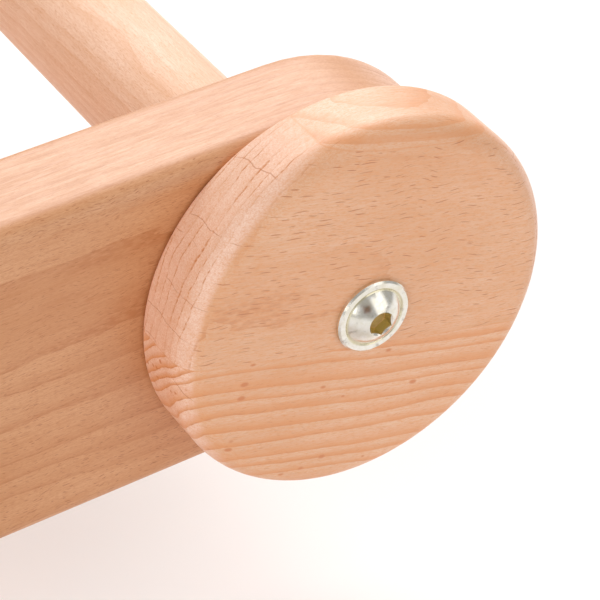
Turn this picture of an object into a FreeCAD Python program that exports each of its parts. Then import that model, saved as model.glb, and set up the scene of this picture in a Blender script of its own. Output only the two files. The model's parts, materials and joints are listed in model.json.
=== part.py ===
"""A rigid-heddle table loom in beech, as a parametric FreeCAD document.

The beams lie along X, the weaver sits at -Y and the loom stands on Z = 0, with the origin at the
centre of its footprint. The front beam takes the cloth and the back beam holds the warp. The two
beam units are alike, one turned half a turn about Z, and so are the two rails.
"""
import FreeCAD, Part
import os
import re
import Sketcher
from FreeCAD import Placement, Rotation, Vector
from math import acos, cos, radians, sin

SIZES = {
    # frame
    "beam_spacing": 520,          # from one beam's axis to the other's
    "inner_width": 460,           # between the inner faces of the rails
    "rail_height": 79,
    "rail_thickness": 26,
    "rail_edge": 4.5,             # rounding of the rail's long edges
    "board_edge": 2,              # rounding of the other boards' edges
    "leg_length": 50,
    "leg_top": 24,
    "leg_foot": 19,
    "leg_offset": 112,            # from a beam's axis to the leg beside it
    "leg_bolt_diameter": 8,
    "leg_bolt_length": 44,
    "leg_bolt_point": 4,          # length of the leg bolt's pointed end
    "leg_bolt_tip": 1,            # radius of its flat tip
    "leg_edge": 1,
    "pad_thickness": 3,
    "pad_diameter": 17,
    "pad_edge": 0.6,
    "stretcher_width": 60,
    "stretcher_thickness": 20,
    "stretcher_offset": 110,      # from the loom's middle to a stretcher's middle
    "stretcher_rise": 4,          # from the rail's lower edge to the stretcher's underside
    # bolts that join the rails and the stretchers
    "frame_bolt_diameter": 6,
    "frame_bolt_length": 60,
    "frame_bolt_collar": 13.6,
    "frame_bolt_collar_height": 1,
    "frame_bolt_dome": 10,
    "frame_bolt_head_height": 3.4,  # to the top of the dome, before the socket cuts it away
    "frame_bolt_socket": 4,
    "frame_bolt_socket_depth": 2,
    "frame_bolt_hole_spare": 4,   # how much deeper than the bolt its hole in the stretcher is
    "frame_bolt_spacing": 36,
    "barrel_diameter": 10,
    "barrel_length": 16,
    "barrel_inset": 25,           # from the stretcher's end to the barrel nut's axis
    # beams and hand wheels
    "beam_diameter": 30,
    "beam_play": 0.5,             # between a beam's shoulder and the rail
    "tenon_diameter": 24,
    "tenon_clearance": 0.08,      # running fit of the tenon in the rail, on the radius
    "tenon_square": 16,
    "socket_depth": 8,
    "seat_clearance": 0.1,        # between pieces that are fixed to each other
    "wheel_diameter": 90,
    "wheel_thickness": 17,
    "wheel_edge": 5.6,
    "wheel_back_edge": 1,
    "wheel_gap": 0.3,             # between the hand wheel and the rail
    "beam_bolt_diameter": 8,
    "beam_bolt_length": 30,
    "beam_bolt_collar": 17.4,
    "beam_bolt_collar_height": 1.2,
    "beam_bolt_dome": 13,
    "beam_bolt_head_height": 4.4,
    "beam_bolt_socket": 5,
    "beam_bolt_socket_depth": 2.8,
    "collar_bevel": 0.4,          # around the front of a bolt's collar
    "collar_groove": 0.3,         # half the width of the groove around a bolt's dome
    "bolt_end_bevel": 0.8,
    "bolt_clearance": 0.25,       # around a bolt in a plain hole, on the radius
    "insert_diameter": 12,
    "insert_length": 20,
    # clamp strip that holds the ends of the warp on a beam
    "strip_length": 400,
    "strip_width": 10,
    "strip_thickness": 5,
    "strip_sink": 1,              # from the beam's surface down to the strip's face
    "strip_screw_spacing": 180,
    "strip_screw_diameter": 3,
    "strip_screw_length": 12,
    "strip_screw_head": 5.8,
    "recess_length": 0.55,        # of a screw's cross recess, as a share of its head
    "recess_width": 0.16,
    "recess_depth": 0.22,
    # ratchet wheels and pawls
    "ratchet_diameter": 64,
    "ratchet_teeth": 24,
    "ratchet_depth": 5,
    "ratchet_thickness": 10,
    "ratchet_gap": 2,             # between the ratchet wheel and the rail
    "tooth_land": 0.4,            # angle left standing at the tip of a tooth
    "tooth_overcut": 1,           # how far the cut between two teeth runs past their tips
    "ratchet_pin_diameter": 4,
    "ratchet_pin_inset": 3,       # from the beam's axis to the pin's inner end
    "ratchet_pin_sink": 1,        # from the teeth's roots down to the pin's outer end
    "pawl_thickness": 8,
    "pawl_boss": 18,
    "pawl_gap": 11,               # between the pawl's boss and the ratchet wheel
    "pawl_rise": 2,               # from the beam's axis up to the pawl's pivot
    "pawl_angle": 60,             # where the nose meets the ratchet wheel
    "pawl_lean": 38,              # slope of the pawl's arm off the upright
    "pawl_tab": 26,               # from the tips of the teeth to the end of the finger tab
    "nose_lift": 0.8,             # from the teeth's roots up to the nose
    "nose_turn": 1,               # angle from the tooth's radial face to the nose
    "nose_width": 0.77,           # of the nose at the tips of the teeth, in teeth
    "throat_width": 1.07,         # of the pawl just above the nose, in teeth
    "throat_lift": 1.2,           # from the tips of the teeth up to the throat
    "tab_width": 0.6,             # of the finger tab's end, in teeth
    "pawl_edge": 0.8,
    "pivot_diameter": 8,
    "pivot_clearance": 0.08,
    "pivot_play": 0.3,
    "pivot_thread": 6,
    "pivot_thread_length": 18,
    "pivot_head": 14,
    "pivot_head_height": 4,
    "pivot_head_bevel": 1,
    "pivot_socket": 4,
    "pivot_socket_depth": 2.2,
    "washer_diameter": 16,
    "washer_thickness": 2.7,
    # heddle stands
    "stand_thickness": 18,
    "stand_width": 90,
    "stand_foot": 5,              # from the rail's lower edge to the stand's underside
    "slot_width": 15,
    "notch_length": 16,
    "notch_height": 22,
    "saddle_depth": 4,
    "saddle_wall": 5,             # between the slot and the upper rest
    "stand_screw_diameter": 5,
    "stand_screw_length": 36,
    "stand_screw_head": 9.4,
    "stand_screw_spacing": 52,
    "stand_screw_rise": 16,       # above and below the beams' height
    # heddle
    "shed_rise": 28,              # from the neutral place up or down to a rest
    "heddle_bar_thickness": 14,
    "heddle_bar_height": 20,
    "heddle_bottom_height": 14,
    "heddle_end_width": 10,
    "heddle_side_play": 1,        # between an end of the top bar and the rail
    "heddle_rest_gap": 0.3,
    "heddle_edge": 1.5,
    "heddle_screw_diameter": 3.5,
    "heddle_screw_length": 35,
    "heddle_screw_head": 6.8,
    "reed_segments": 4,
    "reed_length": 100,
    "reed_height": 100,
    "reed_margin": 6,             # how deep a reed segment sits in the bars
    "reed_thickness": 2.4,
    "reed_pitch": 4,
    "reed_slot": 1.4,
    "reed_eye": 6,
}

RAIL_BOTTOM = "(pad_thickness + leg_length)"
AXIS_HEIGHT = "(pad_thickness + leg_length + rail_height / 2)"
RAIL_MIDDLE = "(inner_width / 2 + rail_thickness / 2)"
BEAM_PLACE = "(-beam_spacing / 2)"
TENON_END = "(inner_width / 2 + rail_thickness + wheel_gap + socket_depth)"
RATCHET_MIDDLE = "(inner_width / 2 - ratchet_gap - ratchet_thickness / 2)"
ROOT_RADIUS = "(ratchet_diameter / 2 - ratchet_depth)"
TIP_RADIUS = "(ratchet_diameter / 2)"
TOOTH_PITCH = "(360 / ratchet_teeth)"
PAWL_REACH = "(ratchet_diameter / 2 + pawl_gap + pawl_boss / 2)"
STRIP_TOP = "(beam_diameter / 2 - strip_sink)"
STRIP_FLOOR = "(beam_diameter / 2 - strip_sink - strip_thickness)"
LOWER_REST = "(" + AXIS_HEIGHT + " + beam_diameter / 2 + reed_height / 2 - shed_rise)"
HEDDLE_BASE = "(" + LOWER_REST + " + heddle_rest_gap)"
REED_WIDTH = "(reed_segments * reed_length)"
LEG_PLACE = "(beam_spacing / 2 - leg_offset)"
STRETCHER_HEIGHT = "(" + RAIL_BOTTOM + " + stretcher_rise + stretcher_thickness / 2)"

UPRIGHT = Rotation()
HALF_TURN = Rotation(Vector(0, 0, 1), 180)
ALONG_X = Rotation(Vector(0, 1, 0), 90)      # takes a piece made along +Z to +X
ALONG_MINUS_X = Rotation(Vector(0, 1, 0), -90)
UPSIDE_DOWN = Rotation(Vector(1, 0, 0), 180)
STRIP_DOWN = Rotation(Vector(1, 0, 0), 135)  # the clamp strip faces down and away from the loom

document = FreeCAD.newDocument("table_loom")
sheet = document.addObject("Spreadsheet::Sheet", "sizes")
nodes = []


def fill_sheet():
    """Write each size and its name into the sheet."""
    for row, (name, value) in enumerate(SIZES.items(), start=1):
        sheet.set("A%d" % row, name)
        sheet.set("B%d" % row, str(value))
        sheet.setAlias("B%d" % row, name)
    document.recompute()


def formula(text):
    """Write a size formula the way the document names the sheet's cells."""
    return re.sub("[a-z_]+", lambda word: "sizes." + word[0] if word[0] in SIZES else word[0], text)


def polar(radius, angle):
    """The two distances of a point given by its radius and its angle."""
    return radius + " * cos(" + angle + ")", radius + " * sin(" + angle + ")"


# ---- sketches -----------------------------------------------------------------------------------

def new_body(label):
    body = document.addObject("PartDesign::Body", label)
    body.Label = label
    return body


def new_sketch(body, plane, offset="0"):
    """A sketch on one of the body's own planes, or that far along the plane's normal."""
    sketch = body.newObject("Sketcher::SketchObject", body.Name + "_sketch")
    sketch.AttachmentSupport = [(plane_of(body, plane), "")]
    sketch.MapMode = "FlatFace"
    sketch.setExpression("AttachmentOffset.Base.z", formula(offset))
    return sketch


def plane_of(body, role):
    return next(item for item in body.Origin.OriginFeatures if item.Role == role)


def constrain(sketch, kind, expression, *where, start=1.0):
    """A dimension of the sketch that follows a formula, from a first guess."""
    index = sketch.addConstraint(Sketcher.Constraint(kind, *where, start))
    sketch.setExpression("Constraints[%d]" % index, formula(expression))


def hold(sketch, geometry, point, place):
    """Hold a point of the sketch at its two distances from the sketch's origin."""
    for kind, distance, axis in (("DistanceX", place[0], -2), ("DistanceY", place[1], -1)):
        if distance == "0":
            sketch.addConstraint(Sketcher.Constraint("PointOnObject", geometry, point, axis))
        else:
            constrain(sketch, kind, distance, -1, 1, geometry, point)


def add_outline(sketch, corners):
    """A closed outline of straight lines through the corners."""
    turn = 360.0 / len(corners)
    guess = [Rotation(Vector(0, 0, 1), turn * number).multVec(Vector(10, 0, 0))
             for number in range(len(corners))]
    lines = [sketch.addGeometry(Part.LineSegment(guess[number - 1], guess[number]))
             for number in range(len(corners))]
    for number, line in enumerate(lines):
        sketch.addConstraint(Sketcher.Constraint("Coincident", lines[number - 1], 2, line, 1))
        hold(sketch, line, 1, corners[number])


def add_rectangle(sketch, width, height, middle=("0", "0")):
    left, right = middle[0] + " - " + width + " / 2", middle[0] + " + " + width + " / 2"
    low, high = middle[1] + " - " + height + " / 2", middle[1] + " + " + height + " / 2"
    add_outline(sketch, [(left, low), (right, low), (right, high), (left, high)])


def add_circle(sketch, diameter, centre=("0", "0")):
    circle = sketch.addGeometry(Part.Circle(Vector(3, 4, 0), Vector(0, 0, 1), 2))
    hold(sketch, circle, 3, centre)
    constrain(sketch, "Diameter", diameter, circle)


def add_round_ended(sketch, spacing, height):
    """A level bar whose two ends are half circles, with their centres that far apart."""
    reach, radius = size(spacing) / 2, size(height) / 2
    ends = []
    for side, first, last in ((-1, 90, 270), (1, -90, 90)):
        circle = Part.Circle(Vector(side * reach, 0, 0), Vector(0, 0, 1), radius)
        arc = sketch.addGeometry(Part.ArcOfCircle(circle, radians(first), radians(last)))
        sketch.addConstraint(Sketcher.Constraint("PointOnObject", arc, 3, -1))
        constrain(sketch, "DistanceX", "%d * %s / 2" % (side, spacing), -1, 1, arc, 3, start=side * reach)
        ends.append(arc)
    left, right = ends
    constrain(sketch, "Radius", height + " / 2", left, start=radius)
    for level, left_end, right_end in ((1, 1, 2), (-1, 2, 1)):
        edge = Part.LineSegment(Vector(-reach, level * radius, 0), Vector(reach, level * radius, 0))
        line = sketch.addGeometry(edge)
        sketch.addConstraint(Sketcher.Constraint("Tangent", line, 1, left, left_end))
        sketch.addConstraint(Sketcher.Constraint("Tangent", line, 2, right, right_end))


# ---- features -----------------------------------------------------------------------------------

def add_pad(body, sketch, length, both_ways=False):
    pad = body.newObject("PartDesign::Pad", body.Name + "_pad")
    pad.Profile = sketch
    pad.Midplane = both_ways
    pad.setExpression("Length", formula(length))
    return pad


def add_pocket(body, sketch, depth, along_normal=False):
    """A cut that goes against the sketch's normal, or along it."""
    pocket = body.newObject("PartDesign::Pocket", body.Name + "_pocket")
    pocket.Profile = sketch
    pocket.Reversed = along_normal
    pocket.setExpression("Length", formula(depth))
    return pocket


def add_through_cut(body, sketch):
    pocket = body.newObject("PartDesign::Pocket", body.Name + "_through")
    pocket.Profile = sketch
    pocket.Type = "ThroughAll"
    pocket.Midplane = True
    return pocket


def add_turning(body, sketch, axis, cut=False):
    """A turned solid about one of the sketch's axes, or a turned cut."""
    kind = "PartDesign::Groove" if cut else "PartDesign::Revolution"
    turning = body.newObject(kind, body.Name + "_turning")
    turning.Profile = sketch
    turning.ReferenceAxis = (sketch, [axis])
    turning.Angle = 360
    return turning


def add_countersunk_holes(body, sketch, diameter, head, along_normal=False):
    """Through holes with a 90 degree countersink at the sketch's plane."""
    document.recompute()
    hole = body.newObject("PartDesign::Hole", body.Name + "_hole")
    hole.Profile = sketch
    hole.Reversed = along_normal
    hole.DepthType = "ThroughAll"
    hole.HoleCutType = "Countersink"
    hole.HoleCutCountersinkAngle = 90
    hole.setExpression("Diameter", formula(diameter + " + 2 * seat_clearance"))
    hole.setExpression("HoleCutDiameter", formula(head + " + 2 * seat_clearance"))
    return hole


def round_edges(body, radius, chosen):
    """Round those edges of the body that the test picks."""
    document.recompute()
    sharp = body.Tip
    names = ["Edge%d" % (number + 1) for number, edge in enumerate(sharp.Shape.Edges) if chosen(edge)]
    fillet = body.newObject("PartDesign::Fillet", body.Name + "_rounding")
    fillet.Base = (sharp, names)
    fillet.setExpression("Radius", formula(radius))
    return fillet


def is_ring(edge, diameter, along):
    """True for a circle of that diameter, that far along its axis."""
    if not isinstance(edge.Curve, Part.Circle) or abs(2 * edge.Curve.Radius - diameter) > 1e-4:
        return False
    return abs(edge.Curve.Center.dot(Vector(1, 0, 0)) - along) < 1e-4


def is_across(edge, direction):
    """True for an edge that is square to the direction all along."""
    box = edge.BoundBox
    return Vector(box.XLength, box.YLength, box.ZLength).dot(direction) < 1e-4


def is_along(edge, direction):
    """True for a straight edge that follows the direction."""
    if not isinstance(edge.Curve, (Part.Line, Part.LineSegment)):
        return False
    return abs(abs(edge.tangentAt(edge.FirstParameter).dot(direction)) - 1) < 1e-4


def size(name):
    """The value of one cell of the sheet."""
    return float(getattr(sheet, name))


# ---- placing ------------------------------------------------------------------------------------

def place(item, position, rotation=UPRIGHT, turned=False):
    """Bind the item's place to the sheet, and turn it half a turn about the loom's middle if asked."""
    across, along, up = position
    if turned:
        across, along = "-(" + across + ")", "-(" + along + ")"
        rotation = HALF_TURN * rotation
    item.Placement = Placement(Vector(), rotation)
    item.setExpression("Placement.Base.x", formula(across))
    item.setExpression("Placement.Base.y", formula(along))
    item.setExpression("Placement.Base.z", formula(up))


def keep(item, position, rotation=UPRIGHT, turned=False):
    """Place a finished sub-part and list it as one of the loom's nodes."""
    place(item, position, rotation, turned)
    nodes.append(item)


def keep_group(label, pattern, places):
    """Several copies of one fastener as a single node; a place is a position and a rotation."""
    copies = []
    for position, rotation, turned in places:
        copy = document.addObject("App::Link", label + "_copy")
        copy.LinkedObject = pattern
        place(copy, position, rotation, turned)
        copies.append(copy)
    group = document.addObject("Part::Compound", label)
    group.Label = label
    group.Links = copies
    nodes.append(group)


# ---- fasteners, made along Z with the head's seat at Z = 0 and the shank going down ---------------

def socket_outline(width):
    """The six corners of a hexagon socket."""
    return [polar(width + " / 2 / cos(30)", "%d" % (60 * corner)) for corner in range(6)]


def button_bolt(name):
    """A flange button-head bolt: a domed head on a flat collar, with a countersunk hexagon socket."""
    bolt = new_body(name + "_pattern")
    profile = new_sketch(bolt, "XZ_Plane")
    shank, collar, dome = name + "_diameter / 2", name + "_collar / 2", name + "_dome / 2"
    lip, end = name + "_collar_height", "-" + name + "_length"
    add_outline(profile, [
        ("0", end), (shank + " - bolt_end_bevel", end), (shank, end + " + bolt_end_bevel"), (shank, "0"),
        (collar, "0"), (collar, lip + " - collar_bevel"), (collar + " - collar_bevel", lip),
        (dome + " + 2 * collar_groove", lip), (dome + " + collar_groove", lip + " - collar_groove / 2"),
        (dome, lip), ("0", lip)])
    add_turning(bolt, profile, "V_Axis")

    flat, mouth = name + "_socket / 2", "(" + name + "_socket / 2 / cos(30))"
    rise = "(" + name + "_head_height - " + lip + ")"
    ball = "((" + name + "_dome * " + name + "_dome / 4 + " + rise + " * " + rise + ") / 2 / " + rise + ")"
    mouth_height = "(%s_head_height - %s + sqrt(%s * %s - %s * %s))" % (name, ball, ball, ball, mouth, mouth)
    cap = new_sketch(bolt, "XZ_Plane")
    add_cap(cap, (size(name + "_dome") / 2, size(lip)), size(name + "_head_height"),
            size(name + "_socket") / 2 / cos(radians(30)), [(dome, lip), (mouth, mouth_height)])
    add_turning(bolt, cap, "V_Axis")
    cone_floor = mouth_height + " - " + mouth + " + " + flat
    cone = new_sketch(bolt, "XZ_Plane")
    add_outline(cone, [("0", cone_floor), (flat, cone_floor), (mouth, mouth_height), ("0", mouth_height)])
    add_turning(bolt, cone, "V_Axis", cut=True)
    socket = new_sketch(bolt, "XY_Plane", mouth_height)
    add_outline(socket, socket_outline(name + "_socket"))
    add_pocket(bolt, socket, name + "_socket_depth")
    return bolt


def add_cap(sketch, rim, top, mouth, ends):
    """The section of a ball's cap from its rim up to its flat mouth, closed along the axis."""
    rise = top - rim[1]
    ball = (rim[0] ** 2 + rise ** 2) / 2 / rise
    centre = Vector(0, top - ball, 0)
    low, high = acos(rim[0] / ball), acos(mouth / ball)
    arc = sketch.addGeometry(Part.ArcOfCircle(Part.Circle(centre, Vector(0, 0, 1), ball), low, high))
    corners = [Vector(rim[0], rim[1], 0), centre + Vector(mouth, ball * sin(high), 0)]
    on_axis = [Vector(0, corner.y, 0) for corner in corners]
    floor = sketch.addGeometry(Part.LineSegment(on_axis[0], corners[0]))
    lid = sketch.addGeometry(Part.LineSegment(corners[1], on_axis[1]))
    spine = sketch.addGeometry(Part.LineSegment(on_axis[1], on_axis[0]))
    sketch.addConstraint(Sketcher.Constraint("PointOnObject", arc, 3, -2))
    for first, first_point, second, second_point in (
            (floor, 2, arc, 1), (arc, 2, lid, 1), (lid, 2, spine, 1), (spine, 2, floor, 1)):
        sketch.addConstraint(Sketcher.Constraint("Coincident", first, first_point, second, second_point))
    for line in (floor, lid):
        sketch.addConstraint(Sketcher.Constraint("Horizontal", line))
    sketch.addConstraint(Sketcher.Constraint("PointOnObject", spine, 1, -2))
    sketch.addConstraint(Sketcher.Constraint("PointOnObject", spine, 2, -2))
    for line, point, place_of_end, corner in ((floor, 2, ends[0], corners[0]), (lid, 1, ends[1], corners[1])):
        constrain(sketch, "DistanceX", place_of_end[0], -1, 1, line, point, start=corner.x)
        constrain(sketch, "DistanceY", place_of_end[1], -1, 1, line, point, start=corner.y)


def countersunk_screw(name):
    """A countersunk wood screw with a cross recess; the top of its head is at Z = 0."""
    screw = new_body(name + "_pattern")
    profile = new_sketch(screw, "XZ_Plane")
    head, shank, end = name + "_head / 2", name + "_diameter / 2", "-" + name + "_length"
    add_outline(profile, [
        ("0", "0"), (head, "0"), (shank, shank + " - " + head),
        (shank, end + " + " + name + "_diameter"), ("0", end)])
    add_turning(screw, profile, "V_Axis")
    for width, height in (("recess_length", "recess_width"), ("recess_width", "recess_length")):
        recess = new_sketch(screw, "XY_Plane")
        add_rectangle(recess, name + "_head * " + width, name + "_head * " + height)
        add_pocket(screw, recess, name + "_head * recess_depth")
    return screw


def barrel_nut():
    nut = new_body("barrel_nut_pattern")
    across = new_sketch(nut, "XY_Plane")
    add_circle(across, "barrel_diameter")
    add_pad(nut, across, "barrel_length", both_ways=True)
    thread = new_sketch(nut, "YZ_Plane")
    add_circle(thread, "frame_bolt_diameter")
    add_through_cut(nut, thread)
    return nut


def threaded_insert():
    """A sleeve nut, open at both ends, with its outer end at Z = 0."""
    insert = new_body("threaded_insert_pattern")
    ring = new_sketch(insert, "XY_Plane", "-insert_length")
    add_circle(ring, "insert_diameter")
    add_circle(ring, "beam_bolt_diameter")
    add_pad(insert, ring, "insert_length")
    return insert


def hanger_bolt():
    """A headless bolt, half of it in the rail and half in the leg."""
    bolt = new_body("hanger_bolt_pattern")
    profile = new_sketch(bolt, "XZ_Plane")
    radius, half = "leg_bolt_diameter / 2", "leg_bolt_length / 2"
    add_outline(profile, [
        ("0", "-" + half), (radius + " - bolt_end_bevel", "-" + half),
        (radius, "-" + half + " + bolt_end_bevel"), (radius, half + " - leg_bolt_point"),
        ("leg_bolt_tip", half), ("0", half)])
    add_turning(bolt, profile, "V_Axis")
    return bolt


def pivot_bolt():
    """A shoulder bolt: the pawl turns on its shoulder and its thread sits in the rail."""
    bolt = new_body("pivot_bolt_pattern")
    profile = new_sketch(bolt, "XZ_Plane")
    shoulder_end = "-(pivot_play + pawl_thickness + pivot_play + washer_thickness)"
    end = shoulder_end + " - pivot_thread_length"
    add_outline(profile, [
        ("0", end), ("pivot_thread / 2 - bolt_end_bevel", end),
        ("pivot_thread / 2", end + " + bolt_end_bevel"),
        ("pivot_thread / 2", shoulder_end), ("pivot_diameter / 2", shoulder_end),
        ("pivot_diameter / 2", "0"), ("pivot_head / 2", "0"),
        ("pivot_head / 2", "pivot_head_height - pivot_head_bevel"),
        ("pivot_head / 2 - pivot_head_bevel", "pivot_head_height"),
        ("0", "pivot_head_height")])
    add_turning(bolt, profile, "V_Axis")
    socket = new_sketch(bolt, "XY_Plane", "pivot_head_height")
    add_outline(socket, socket_outline("pivot_socket"))
    add_pocket(bolt, socket, "pivot_socket_depth")
    return bolt


def pivot_washer():
    """The spacer between the pawl and the rail."""
    washer = new_body("pivot_washer_pattern")
    ring = new_sketch(washer, "XY_Plane")
    add_circle(ring, "washer_diameter")
    add_circle(ring, "pivot_diameter + 2 * bolt_clearance")
    add_pad(washer, ring, "washer_thickness")
    return washer


def leg_pad():
    pad = new_body("leg_pad_pattern")
    profile = new_sketch(pad, "XZ_Plane")
    radius = "pad_diameter / 2"
    add_outline(profile, [
        ("0", "0"), (radius + " - pad_edge", "0"), (radius, "pad_edge"), (radius, "pad_thickness"),
        ("0", "pad_thickness")])
    add_turning(pad, profile, "V_Axis")
    return pad


def ratchet_pin():
    """A plain pin that goes up from a tooth's root into the beam."""
    pin = new_body("ratchet_pin_pattern")
    across = new_sketch(pin, "XY_Plane", "ratchet_pin_inset")
    add_circle(across, "ratchet_pin_diameter")
    add_pad(pin, across, ROOT_RADIUS + " - ratchet_pin_sink - ratchet_pin_inset")
    return pin


# ---- frame --------------------------------------------------------------------------------------

def side_rail(label, turned):
    """A rail on the right, with its inner face towards -X; turned, it is the left one."""
    rail = new_body(label)
    board = new_sketch(rail, "YZ_Plane")
    add_round_ended(board, "beam_spacing", "rail_height")
    add_pad(rail, board, "rail_thickness", both_ways=True)
    round_edges(rail, "rail_edge", lambda edge: is_across(edge, Vector(1, 0, 0)))

    bores = new_sketch(rail, "YZ_Plane")
    stretcher_middle = STRETCHER_HEIGHT + " - " + AXIS_HEIGHT
    for end in ("-", ""):
        add_circle(bores, "tenon_diameter + 2 * tenon_clearance", (end + "beam_spacing / 2", "0"))
        for side in ("-", ""):
            middle = "stretcher_offset" + (side or "+") + "frame_bolt_spacing / 2"
            add_circle(bores, "frame_bolt_diameter + 2 * bolt_clearance",
                       (end + "(" + middle + ")", stretcher_middle))
    add_through_cut(rail, bores)

    stand_pilots = new_sketch(rail, "YZ_Plane", "-rail_thickness / 2")
    for spot in stand_screw_spots():
        add_circle(stand_pilots, "stand_screw_diameter", spot)
    add_pocket(rail, stand_pilots, "stand_screw_length - stand_thickness", along_normal=True)

    pawl_pilot = new_sketch(rail, "YZ_Plane", "-rail_thickness / 2")
    add_circle(pawl_pilot, "pivot_thread", ("-beam_spacing / 2 + " + PAWL_REACH, "pawl_rise"))
    add_pocket(rail, pawl_pilot, "pivot_thread_length", along_normal=True)

    leg_pilots = new_sketch(rail, "XY_Plane", "-rail_height / 2")
    for end in ("-", ""):
        add_circle(leg_pilots, "leg_bolt_diameter", ("0", end + LEG_PLACE))
    add_pocket(rail, leg_pilots, "leg_bolt_length / 2", along_normal=True)
    keep(rail, (RAIL_MIDDLE, "0", AXIS_HEIGHT), turned=turned)


def stand_screw_spots():
    """Where the screws of a stand are, seen from the side, from the beams' height at the middle."""
    return [("-stand_screw_spacing / 2", "stand_screw_rise"), ("stand_screw_spacing / 2", "stand_screw_rise"),
            ("0", "-stand_screw_rise")]


def stretcher(label, turned):
    """A flat board between the rails, drilled for its bolts and its barrel nuts."""
    board = new_body(label)
    face = new_sketch(board, "YZ_Plane")
    add_rectangle(face, "stretcher_width", "stretcher_thickness")
    add_pad(board, face, "inner_width", both_ways=True)
    round_edges(board, "board_edge", lambda edge: is_along(edge, Vector(1, 0, 0)))
    for end in (-1, 1):
        bolt_holes = new_sketch(board, "YZ_Plane", "%d * inner_width / 2" % end)
        nut_holes = new_sketch(board, "XY_Plane", "-stretcher_thickness / 2")
        for side in ("-", ""):
            along = side + "frame_bolt_spacing / 2"
            add_circle(bolt_holes, "frame_bolt_diameter + 2 * bolt_clearance", (along, "0"))
            add_circle(nut_holes, "barrel_diameter + 2 * seat_clearance",
                       ("%d * (inner_width / 2 - barrel_inset)" % end, along))
        add_pocket(board, bolt_holes, "frame_bolt_length - rail_thickness + frame_bolt_hole_spare",
                   along_normal=end < 0)
        add_pocket(board, nut_holes, "stretcher_thickness / 2 + barrel_length / 2", along_normal=True)
    keep(board, ("0", "-stretcher_offset", STRETCHER_HEIGHT), turned=turned)


def leg(label, across, turned):
    """A turned leg that tapers down to its foot."""
    post = new_body(label)
    profile = new_sketch(post, "XZ_Plane")
    add_outline(profile, [
        ("0", "0"), ("leg_foot / 2 - leg_edge", "0"), ("leg_foot / 2", "leg_edge"),
        ("leg_top / 2", "leg_length - leg_edge"), ("leg_top / 2 - leg_edge", "leg_length"),
        ("0", "leg_length")])
    add_turning(post, profile, "V_Axis")
    bolt_hole = new_sketch(post, "XY_Plane", "leg_length")
    add_circle(bolt_hole, "leg_bolt_diameter")
    add_pocket(post, bolt_hole, "leg_bolt_length / 2")
    keep(post, (across, "-" + LEG_PLACE, "pad_thickness"), turned=turned)


def heddle_stand(label, side):
    """A board on a rail's inner face: a slot with its lower rest, a neutral notch and an upper rest."""
    stand = new_body(label)
    profile = new_sketch(stand, "YZ_Plane")
    half, slot = "stand_width / 2", "slot_width / 2"
    low = LOWER_REST + " - " + AXIS_HEIGHT
    foot = "stand_foot - rail_height / 2"
    notch = low + " + shed_rise"
    rest = low + " + 2 * shed_rise"
    top = rest + " + saddle_depth"
    saddle_end = "-" + slot + " - saddle_wall - slot_width"
    add_outline(profile, [
        ("-" + half, foot), (half, foot), (half, top), (slot, top), (slot, notch + " + notch_height"),
        (slot + " + notch_length", notch + " + notch_height"), (slot + " + notch_length", notch),
        (slot, notch), (slot, low), ("-" + slot, low), ("-" + slot, top),
        ("-" + slot + " - saddle_wall", top), ("-" + slot + " - saddle_wall", rest),
        (saddle_end, rest), (saddle_end, top), ("-" + half, top)])
    add_pad(stand, profile, "stand_thickness", both_ways=True)
    outer_corners = size("stand_width") / 2
    round_edges(stand, "3 * board_edge", lambda edge: is_along(edge, Vector(1, 0, 0))
                and abs(abs(edge.Vertexes[0].Y) - outer_corners) < 1e-4)
    inner_face = -side * size("stand_thickness") / 2
    round_edges(stand, "board_edge / 2", lambda edge: is_across(edge, Vector(1, 0, 0))
                and abs(edge.BoundBox.XMin - inner_face) < 1e-4)
    screw_holes = new_sketch(stand, "YZ_Plane", "%d * stand_thickness / 2" % -side)
    for spot in stand_screw_spots():
        add_circle(screw_holes, "stand_screw_diameter", spot)
    add_countersunk_holes(stand, screw_holes, "stand_screw_diameter", "stand_screw_head",
                          along_normal=side > 0)
    keep(stand, ("%d * (inner_width / 2 - stand_thickness / 2)" % side, "0", AXIS_HEIGHT))


def make_frame():
    for name, turned in (("right", False), ("left", True)):
        side_rail(name + "_side_rail", turned)
    for name, turned in (("front", False), ("back", True)):
        stretcher(name + "_stretcher", turned)
    leg("leg_front_right", RAIL_MIDDLE, False)
    leg("leg_front_left", "-" + RAIL_MIDDLE, False)
    leg("leg_back_left", RAIL_MIDDLE, True)
    leg("leg_back_right", "-" + RAIL_MIDDLE, True)
    heddle_stand("right_heddle_stand", 1)
    heddle_stand("left_heddle_stand", -1)


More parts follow.
